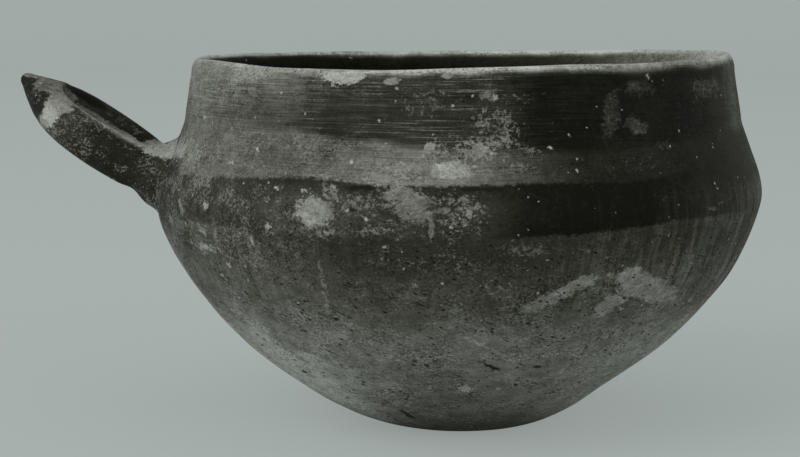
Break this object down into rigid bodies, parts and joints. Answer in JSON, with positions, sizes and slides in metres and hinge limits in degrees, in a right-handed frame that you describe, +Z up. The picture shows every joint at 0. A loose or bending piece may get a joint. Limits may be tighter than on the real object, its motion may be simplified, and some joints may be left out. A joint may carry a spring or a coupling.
{
  "type": "handled bowl",
  "caption": "Hand-built pottery bowl with a round bottom, a carinated shoulder, an upright neck and a raised loop handle that ends in a point, for dipping and holding food or drink.",
  "frame": {"origin": "centre of the small flat under the base, on the surface that the bowl stands on", "axes": "+Z up through the mouth, the handle points along -X, +Y away from the side that the picture shows"},
  "size_m": [0.2336, 0.187, 0.1165],
  "materials": {
    "dark_slip": "burnished dark slip, worn to the clay in patches",
    "worn_slip": "dark slip rubbed thin",
    "bare_clay": "matt fired clay with small voids",
    "pale_clay": "matt pale clay where the surface has worn away"
  },
  "bodies": {
    "root": {"base_pad": "bare_clay", "lower_bowl": "bare_clay", "shoulder_band": "dark_slip", "neck_band": "dark_slip", "lip_coil": "worn_slip", "handle_point": "dark_slip", "handle_arm_front": "dark_slip", "handle_arm_back": "dark_slip", "luting_front": "worn_slip", "luting_back": "worn_slip", "saddle_web": "pale_clay", "tenon_cap_front": "dark_slip", "tenon_cap_back": "dark_slip"}
  },
  "joints": []
}
